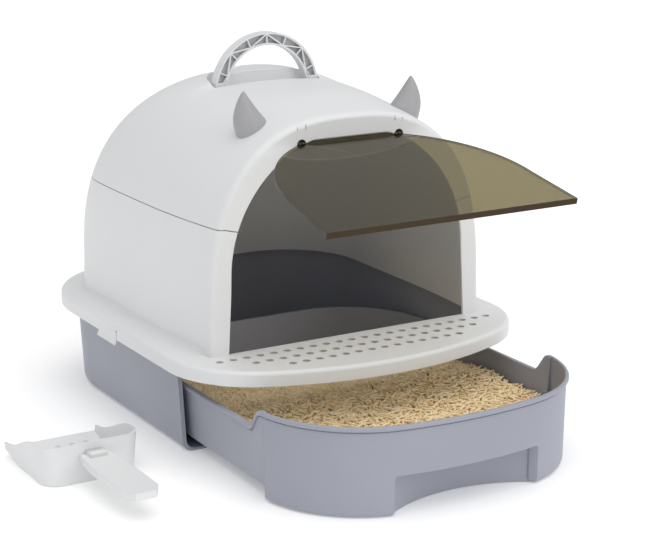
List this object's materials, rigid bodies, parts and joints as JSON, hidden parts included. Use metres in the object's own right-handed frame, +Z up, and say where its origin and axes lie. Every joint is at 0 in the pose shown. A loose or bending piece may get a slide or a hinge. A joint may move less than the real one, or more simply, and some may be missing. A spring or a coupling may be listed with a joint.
{
  "type": "drawer litter box",
  "caption": "Hooded litter box with a smoked lift-up flap, a perforated porch, a folding carry handle, side latches, a pull-out drawer tray and a scoop.",
  "frame": {"origin": "on the floor under the middle of the base shell's footprint", "axes": "+X to the right seen from the doorway, +Y towards the rear, +Z up; the flap lifted, the handle upright, the drawer pulled out 153 mm"},
  "size_m": [0.5647, 0.6531, 0.422],
  "materials": {
    "white_plastic": "satin moulded polypropylene",
    "blue_grey_plastic": "satin moulded polypropylene",
    "trim_grey_plastic": "satin moulded polypropylene",
    "handle_grey_plastic": "satin moulded polypropylene",
    "smoked_plastic": "clear smoked polystyrene",
    "dark_plastic": "satin",
    "pin_steel": "drawn wire",
    "litter": "pressed plant-fibre pellets"
  },
  "bodies": {
    "housing": {"base_shell": "blue_grey_plastic", "hood_lower": "white_plastic", "hood_upper": "white_plastic", "ear_left": "trim_grey_plastic", "ear_right": "trim_grey_plastic", "handle_pin_left": "handle_grey_plastic", "handle_pin_right": "handle_grey_plastic", "latch_pin_left": "pin_steel", "latch_pin_right": "pin_steel"},
    "drawer": {"drawer_tray": "blue_grey_plastic", "litter_bed": "litter"},
    "flap": {"door_flap": "smoked_plastic", "door_peg_left": "dark_plastic", "door_peg_right": "dark_plastic"},
    "handle": {"carry_handle": "handle_grey_plastic"},
    "left_latch": {"latch_left": "white_plastic"},
    "right_latch": {"latch_right": "white_plastic"},
    "scoop": {"litter_scoop": "white_plastic"}
  },
  "joints": [
    {"name": "drawer_slide", "type": "slide", "parent": "housing", "child": "drawer", "axis": [0, -1, 0], "range_m": [-0.153, 0.1]},
    {"name": "flap_hinge", "type": "hinge", "parent": "housing", "child": "flap", "pos_m": [0, -0.2105, 0.3298], "axis": [-1, 0, 0], "range_deg": [-78, 0]},
    {"name": "handle_fold", "type": "hinge", "parent": "housing", "child": "handle", "pos_m": [0, -0.0265, 0.362], "axis": [-1, 0, 0], "range_deg": [0, 90]},
    {"name": "left_latch_swing", "type": "hinge", "parent": "housing", "child": "left_latch", "pos_m": [-0.2055, -0.034, 0.1088], "axis": [0, 1, 0], "range_deg": [0, 40]},
    {"name": "right_latch_swing", "type": "hinge", "parent": "housing", "child": "right_latch", "pos_m": [0.2055, -0.034, 0.1088], "axis": [0, -1, 0], "range_deg": [0, 40]},
    {"name": "scoop_lift", "type": "slide", "parent": "housing", "child": "scoop", "axis": [0, 0, 1], "range_m": [0, 0.1]}
  ]
}
